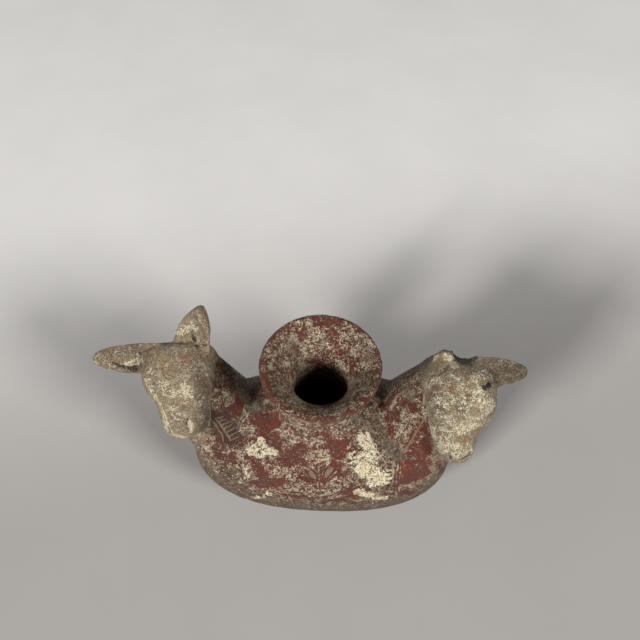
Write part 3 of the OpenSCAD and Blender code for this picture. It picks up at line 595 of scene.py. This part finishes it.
def clay_copy():
    """Own copy of the frame's clay, its loose triangles merged."""
    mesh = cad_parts["vase"].data.copy()
    mesh.name = "vase_clay"
    mesh.materials.clear()
    obj = bpy.data.objects.new("vase_clay", mesh)
    bpy.context.scene.collection.objects.link(obj)
    only(obj)
    bpy.ops.object.mode_set(mode="EDIT")
    bpy.ops.mesh.select_all(action="SELECT")
    bpy.ops.mesh.remove_doubles(threshold=1e-6)
    bpy.ops.mesh.customdata_custom_splitnormals_clear()
    bpy.ops.object.mode_set(mode="OBJECT")
    return obj


def soften(obj, passes):
    """Round the joins and facets, then swell the forms back; thin ears, lip and resting face stay."""
    p = places(obj)
    weight = 1 - 0.8 * on_ears(p)
    weight *= 1 - 0.9 * soft(p[:, 2], *FLARE_Z) * (mouth_radius(p) < FLARE_R)
    weight *= soft(p[:, 2], *FOOT_Z)
    group = obj.vertex_groups.new(name="soften")
    for level in range(WEIGHT_LEVELS + 1):
        idx = np.nonzero(np.round(weight * WEIGHT_LEVELS) == level)[0]
        group.add([int(i) for i in idx], level / WEIGHT_LEVELS, "REPLACE")
    apply(obj, "SMOOTH", factor=0.5, iterations=passes, vertex_group="soften")
    apply(obj, "SMOOTH", factor=-0.5, iterations=passes - SWELL_FEWER, vertex_group="soften")
    obj.vertex_groups.clear()


def thin_inside(obj):
    """Coarser faces on the inner wall, which is seen only through the throat."""
    edit_vertices(obj, in_hollow(places(obj), *INNER_WALL))
    bpy.ops.mesh.decimate(ratio=INNER_RATIO)
    bpy.ops.object.mode_set(mode="OBJECT")


def refine(obj):
    """Cut the faces beside the lines in half each way."""
    p = places(obj)
    gap = np.full(len(p), np.inf)
    for _, _, a, b in line_legs():
        gap = np.minimum(gap, away(p, a, b))
    edit_vertices(obj, gap < LINE_REACH)
    bpy.ops.mesh.subdivide(number_cuts=1, smoothness=0)
    bpy.ops.object.mode_set(mode="OBJECT")


def model_by_hand(obj):
    """Press in the eyes' folds, nostrils, ear pits and fractures."""
    p = places(obj)
    height = np.zeros(len(p))
    for radius, lift, a, b in MODELLED:
        height += lift * np.exp(-(away(p, a, b) / radius) ** 2)
    push(obj, height)


def head_mask(p):
    """One on the bare clay of heads and ears, nought past the seams to the slipped necks."""
    mask = strokes(p, BARE_EARS, edge=0.1)
    for a, b, radius, way, seam, low in BARE_HEADS:
        head = strokes(p, [(a, b, radius, 1)], edge=0.1)
        head = head * soft(p @ np.array(way) - seam, -SEAM_BLUR, SEAM_BLUR)
        mask = np.maximum(mask, head * soft(p[:, 2], low - CHIN_BLUR, low + CHIN_BLUR))
    return mask


def finish_surface(obj, lift):
    """Carve the lines, raise the crust and paint the masks that the clay material reads."""
    p = places(obj)
    share, deep = near_lines(p)
    cream, slip = strokes(p, CREAM_CRUST), strokes(p, BARE_SLIP)
    push(obj, soft(p[:, 2], *REST_Z) * (lift / MM * cream - SLIP_DEPTH * slip
                                        - deep * (1 - np.clip(share, 0, 1))))
    r = mouth_radius(p)
    heads = head_mask(p)
    rim = soft(r, *RIM_R) * soft(p[:, 2], *RIM_Z) * (r < RIM_REACH)
    # Painted shade that deepens down the throat
    throat = (r < THROAT_R) * (1 - soft(p[:, 2], *THROAT_Z))
    masks = {
        "slip": np.maximum(slip, 0.7 * rim),
        "cream": cream,
        "grey": strokes(p, GREY_CRUST, edge=0.6),
        "soot_and_shade": strokes(p, SOOT_AND_SHADE, edge=0.5),
        "buff": strokes(p, BUFF_PAINT, edge=0.35),
        "heads": heads,
        "rusty": strokes(p, RUSTY, edge=0.8),
        # Dirt and painted shade in the darker fields, and painted shade over the low body
        "dirt_and_shade": np.maximum(strokes(p, DIRT_AND_SHADE, edge=0.6), (1 - soft(p[:, 2], *LOW_SHADE_Z)) * (1 - heads)),
        "rim": rim,
        "inside": np.maximum(in_hollow(p, *SHADED_HOLLOW), throat),
        "back": soft(p[:, 1], *BACK_Y) * (1 - rim) * (1 - heads),
    }
    for kind in KINDS:
        masks["line_" + kind] = 1 - soft(near_lines(p, (kind,))[0], *LINE_EDGE)
    for name, values in masks.items():
        layer = obj.data.attributes.new(name, "FLOAT", "POINT")
        layer.data.foreach_set("value", values.astype(np.float32))


class Graph:
    """Short way to write a node tree."""

    def __init__(self, tree):
        self.tree = tree

    def node(self, kind, inputs=(), **settings):
        """New shader node with these settings, its inputs linked or set."""
        made = self.tree.nodes.new("ShaderNode" + kind)
        for key, value in settings.items():
            setattr(made, key, value)
        for key, value in dict(inputs).items():
            if isinstance(value, bpy.types.NodeSocket):
                self.tree.links.new(value, made.inputs[key])
            else:
                made.inputs[key].default_value = value
        return made

    def math(self, operation, a, b=0.0):
        return self.node("Math", {0: a, 1: b}, operation=operation).outputs[0]

    def times(self, a, b):
        return self.math("MULTIPLY", a, b)

    def total(self, *terms):
        value = terms[0]
        for term in terms[1:]:
            value = self.math("ADD", value, term)
        return value

    def mix(self, share, a, b):
        """Colour a, turning to colour b as share goes from nought to one."""
        def colour(c):
            return c if isinstance(c, bpy.types.NodeSocket) else (*c, 1)

        return self.node("Mix", {0: share, 6: colour(a), 7: colour(b)}, data_type="RGBA").outputs[2]

    def over(self, under, mask, strength, tint):
        """Lay tint over the colour under it, where mask is and as strongly as strength says."""
        return self.mix(self.times(mask, strength), under, tint)

    def step(self, value, low, high, to_low=0.0, to_high=1.0):
        """Smooth step from to_low at low to to_high at high."""
        return self.node("MapRange", {0: value, 1: low, 2: high, 3: to_low, 4: to_high},
                         interpolation_type="SMOOTHSTEP").outputs[0]

    def attribute(self, name):
        """Mask that finish_surface painted."""
        return self.node("Attribute", attribute_type="GEOMETRY", attribute_name=name).outputs["Fac"]

    def frayed(self, name, low, high, *noise):
        """Painted mask whose edge the noise breaks up."""
        return self.step(self.total(self.attribute(name), *noise), low, high)


def grain_group():
    """Node group that puts out one noise over the object's own coordinates, centred on nought."""
    tree = bpy.data.node_groups.new("clay_grain", "ShaderNodeTree")
    for name, default in (("Scale", 500.0), ("Detail", 3.0), ("Distortion", 0.0), ("Shift", 0.0)):
        socket = tree.interface.new_socket(name, in_out="INPUT", socket_type="NodeSocketFloat")
        socket.default_value = default
    tree.interface.new_socket("Value", in_out="OUTPUT", socket_type="NodeSocketFloat")
    g = Graph(tree)
    source = tree.nodes.new("NodeGroupInput").outputs
    moved = g.node("VectorMath", {0: g.node("TexCoord").outputs["Object"], 1: source["Shift"]},
                   operation="ADD")
    noise = g.node("TexNoise", {"Vector": moved.outputs[0], "Scale": source["Scale"],
                                "Detail": source["Detail"], "Roughness": 0.6,
                                "Distortion": source["Distortion"]})
    out = tree.nodes.new("NodeGroupOutput")
    tree.links.new(g.math("SUBTRACT", noise.outputs["Fac"], 0.5), out.inputs["Value"])
    return tree


def grain(g, scale, detail=3.0, distortion=0.0, shift=0.0):
    """The noise group placed in a material, with its own values."""
    made = g.node("Group", {"Scale": scale, "Detail": detail, "Distortion": distortion, "Shift": shift},
                  node_tree=bpy.data.node_groups.get("clay_grain") or grain_group())
    return made.outputs["Value"]


def clay_material(look):
    """Fired clay: worn red slip under mottled, streaky burial crust, lime patches, sooty pits, dirty fields,
    and painted shade in pits, creases, low down and inside.
    """
    material = bpy.data.materials.new("fired_clay")
    material.use_nodes = True
    tree = material.node_tree
    shader = tree.nodes["Principled BSDF"]
    g = Graph(tree)
    total, times, over = g.total, g.times, g.over

    # Noise from broad to hair-fine, and a swirl of thin streaks
    broad = grain(g, 45, 3, 0.6)
    mid = grain(g, 190, 4, 1.2)
    fine = grain(g, 680, 4, 1.2, shift=0.3)
    hair = grain(g, 1500, 3, 1.0, shift=0.7)
    flow = grain(g, 85, 3, 1.2, shift=1.1)
    swirl = g.math("SINE", total(times(flow, 60.0), times(fine, 9.0)))
    ragged, torn = (times(fine, 2.6), times(hair, 1.8)), (times(fine, 1.4),)

    slip_mask, cream_mask, grey_mask = g.attribute("slip"), g.attribute("cream"), g.attribute("grey")
    heads, inside, chalk_lines = g.attribute("heads"), g.attribute("inside"), g.attribute("line_chalk")
    wander = times(broad, g.attribute("back"))

    # Under the crust: red slip on the vase, bare clay on heads and ears
    slip = g.mix(g.step(total(broad, times(mid, 0.5)), -0.02, 0.2), look.slip, look.slip_bright)
    slip = g.mix(g.step(total(mid, times(fine, 0.9)), -0.02, 0.24), slip, look.slip_deep)
    bare = g.mix(g.step(total(mid, fine), -0.18, 0.14), look.bare_clay, look.bare_dark)
    under = g.mix(heads, slip, bare)

    # The burial crust, its pale strands and the grey deposit
    cover = g.step(total(0.555, times(slip_mask, -0.44), times(cream_mask, 0.3), times(grey_mask, 0.25),
                         times(heads, -0.1), times(mid, 1.3), times(fine, 2.0), times(hair, 1.4),
                         times(swirl, 0.04), times(wander, 1.6)), 0.43, 0.57)
    mottle = total(fine, times(hair, 1.1), times(mid, 0.8), times(swirl, 0.03))
    crust = g.mix(g.step(mottle, -0.1, 0.06), look.crust_dark_and_shade, look.crust)
    crust = g.mix(g.step(mottle, 0.08, 0.17), crust, look.strand)
    colour = over(under, cover, 0.92, crust)
    strand = g.step(total(swirl, times(mid, 3.0), times(hair, 4.0)), 0.7, 1.1)
    faint = times(strand, total(0.1, times(cover, 0.25)))
    colour = over(colour, faint, g.step(grey_mask, 1.0, 0.0), look.strand)
    grey_cover = g.step(total(grey_mask, times(mid, 1.2), times(fine, 1.6)), 0.35, 0.7)
    colour = over(colour, grey_cover, 0.6, look.grey)

    # Stains, rust and a pale film on the bare clay, then dirt and painted shade
    stain = g.step(total(heads, times(mid, 2.2), times(fine, 2.4), times(hair, 1.4)), 1.06, 1.3)
    colour = over(colour, stain, 0.68, look.bare_dark)
    rust = g.step(total(heads, times(g.attribute("rusty"), 0.5), times(mid, -2.4), times(fine, 1.6)),
                  1.16, 1.42)
    colour = over(colour, rust, 0.6, look.rust)
    film = g.step(total(times(heads, 0.5), times(mid, 2.0), times(fine, 0.9), times(hair, 1.6),
                        times(swirl, 0.05)), 0.46, 0.78)
    colour = over(colour, film, 0.68, look.strand)
    colour = over(colour, g.attribute("dirt_and_shade"), total(0.56, times(mid, 1.2)), look.crust_dark_and_shade)

    # Lime crust, yellowed where it is thin
    lime = g.step(total(times(cream_mask, 0.95), times(heads, 0.05), times(mid, 1.7), times(fine, 2.2),
                        times(hair, 1.8), times(wander, 1.2)), 0.46, 0.72)
    thick = g.step(total(hair, times(fine, 0.9), times(swirl, 0.02)), -0.1, 0.06)
    colour = over(colour, lime, 0.9, g.mix(thick, look.cream_dark, look.cream))

    # Seams, painted forms and incised lines
    colour = over(colour, g.frayed("line_pale", 0.4, 0.8, *ragged), 0.65, look.strand)
    colour = over(colour, g.frayed("buff", 0.4, 0.8, times(fine, 1.2)), 0.8, look.buff)
    colour = over(colour, g.frayed("line_red", 0.25, 0.7, *torn), 0.9, look.slip)
    colour = over(colour, g.step(total(chalk_lines, *ragged), 0.35, 0.85), 0.7, look.chalk)
    colour = over(colour, g.frayed("line_dark", 0.35, 0.8, *torn), 0.75, look.crust_dark_and_shade)

    # Black specks, soot and painted shade in pits and creases, and painted shade over the unlit interior
    specks = g.step(total(grain(g, 900, 3, 1.0, shift=1.9), times(fine, -0.5)), 0.13, 0.22)
    # Soot and painted shade in the pits and creases
    soot_and_shade = g.frayed("soot_and_shade", 0.4, 0.75, *ragged)
    colour = over(colour, specks, 0.7, look.soot_and_shade)
    colour = over(colour, soot_and_shade, 0.86, look.soot_and_shade)
    # Painted shade: the unlit interior and the throat turn near black
    colour = g.mix(inside, colour, look.soot_and_shade)
    tree.links.new(colour, shader.inputs["Base Color"])

    # Worn slip has a faint gloss, crust has none
    rough = g.step(total(cover, lime, inside, times(g.attribute("rim"), -0.3)), -0.3, 1, 0.36, 0.88)
    tree.links.new(rough, shader.inputs["Roughness"])
    shader.inputs["Specular IOR Level"].default_value = 0.35
    lumps = times(total(fine, times(mid, 0.6)), heads)
    height = total(times(cover, 0.24), times(lime, 0.28), times(strand, 0.08), times(mid, 0.6),
                   times(fine, 1.2), times(lumps, 2.2), times(hair, 1.2), times(soot_and_shade, -0.35),
                   times(chalk_lines, -0.1))
    bump = g.node("Bump", {"Strength": 1.0, "Distance": MM, "Height": height})
    tree.links.new(bump.outputs["Normal"], shader.inputs["Normal"])
    return material


class VASE_OT_clay(bpy.types.Operator):
    """Model the clay piece over the frame's vase, carve it and give it its finish"""

    bl_idname = "vase.model_clay"
    bl_label = "Clay"

    def execute(self, context):
        look = context.scene.vase_clay
        clay = clay_copy()
        push(clay, EAR_SPARE * on_ears(places(clay)))
        apply(clay, "REMESH", mode="VOXEL", voxel_size=look.grain, adaptivity=0, use_smooth_shade=True)
        soften(clay, look.softening)
        push(clay, -EAR_TRIM * on_ears(places(clay)))
        thin_inside(clay)
        refine(clay)
        model_by_hand(clay)
        finish_surface(clay, look.crust_lift)
        apply(clay, "TRIANGULATE")
        bpy.ops.object.shade_smooth()
        clay.data.materials.append(clay_material(look))
        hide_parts("vase")
        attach(clay, "root")
        return {"FINISHED"}


def floor_material(look):
    """Matt pale paper with a faint mottle, with painted shade making it darker near and to the right, and
    painted light making it paler far away.
    """
    material = bpy.data.materials.new("studio_paper")
    material.use_nodes = True
    tree = material.node_tree
    shader = tree.nodes["Principled BSDF"]
    g = Graph(tree)
    place = g.node("SeparateXYZ", {0: g.node("TexCoord").outputs["Object"]}).outputs
    depth = g.math("SUBTRACT", place["Y"], g.times(place["X"], PAPER_SHADE_SLANT))
    # Painted shade near and to the right, painted light far away
    colour = g.mix(g.step(depth, *PAPER_SHADE_FADE), look.floor, look.far_floor_painted_light)
    colour = g.mix(g.step(grain(g, 9, 3), -0.2, 0.2, 0, 0.06), colour, PAPER_MOTTLE)
    tree.links.new(colour, shader.inputs["Base Color"])
    shader.inputs["Roughness"].default_value = 0.9
    shader.inputs["Specular IOR Level"].default_value = 0.2
    return material


def lamp(name, place, size, power):
    """Soft square lamp at place, turned towards the vase."""
    data = bpy.data.lights.new(name, "AREA")
    data.shape, data.size, data.energy = "SQUARE", size, power
    obj = bpy.data.objects.new(name, data)
    bpy.context.scene.collection.objects.link(obj)
    turn = (Vector(LAMP_AIM) - Vector(place)).to_track_quat("-Z", "Y").to_matrix().to_4x4()
    obj.matrix_world = Matrix.Translation(place) @ turn


class VASE_OT_stage(bpy.types.Operator):
    """Lay the floor, hang the lamps and place the camera"""

    bl_idname = "vase.set_stage"
    bl_label = "Stage"

    def execute(self, context):
        scene, look = context.scene, context.scene.vase_stage
        scene.view_settings.view_transform = "Standard"
        clear_selection()
        bpy.ops.mesh.primitive_plane_add(size=FLOOR_SIZE, location=(0, 0, 0))
        floor = context.object
        floor.name = floor.data.name = "studio_floor"
        floor.data.materials.append(floor_material(look))
        lamp("key_lamp", KEY_PLACE, KEY_SIZE, look.key_power)
        lamp("fill_lamp", FILL_PLACE, FILL_SIZE, look.fill_power)
        scene.world = bpy.data.worlds.new("studio_air")
        scene.world.use_nodes = True
        air = scene.world.node_tree.nodes["Background"].inputs
        air["Color"].default_value = (1, 1, 1, 1)
        air["Strength"].default_value = look.ambient
        camera = bpy.data.objects.new("camera", bpy.data.cameras.new("camera"))
        scene.collection.objects.link(camera)
        camera.data.lens, camera.data.sensor_width = CAMERA_LENS, CAMERA_SENSOR
        camera.matrix_world = (Matrix.Translation((MOUTH_X * MM, 0, 0))
                               @ Matrix.Rotation(math.radians(CAMERA_TURN), 4, "Z")
                               @ Matrix.Translation(CAMERA_PLACE)
                               @ Matrix.Rotation(math.radians(90 - CAMERA_DIP), 4, "X"))
        scene.camera = camera
        return {"FINISHED"}


class VASE_PT_panel(bpy.types.Panel):
    """Sizes, colours and steps of the vase"""

    bl_label = "Vase"
    bl_idname = "VASE_PT_panel"
    bl_space_type = "VIEW_3D"
    bl_region_type = "UI"
    bl_category = "Vase"

    def draw(self, context):
        scene = context.scene
        for look, operator in ((scene.vase_clay, VASE_OT_clay), (scene.vase_stage, VASE_OT_stage)):
            box = self.layout.box()
            for name in look.bl_rna.properties.keys():
                if name not in ("rna_type", "name"):
                    box.prop(look, name)
            box.operator(operator.bl_idname)


CLASSES = (VaseClay, VaseStage, VASE_OT_clay, VASE_OT_stage, VASE_PT_panel)


def register():
    for cls in CLASSES:
        bpy.utils.register_class(cls)
    bpy.types.Scene.vase_clay = PointerProperty(type=VaseClay)
    bpy.types.Scene.vase_stage = PointerProperty(type=VaseStage)


def unregister():
    del bpy.types.Scene.vase_stage, bpy.types.Scene.vase_clay
    for cls in reversed(CLASSES):
        bpy.utils.unregister_class(cls)


def main():
    register()
    bpy.ops.vase.model_clay()
    bpy.ops.vase.set_stage()


if __name__ == "__main__":
    main()
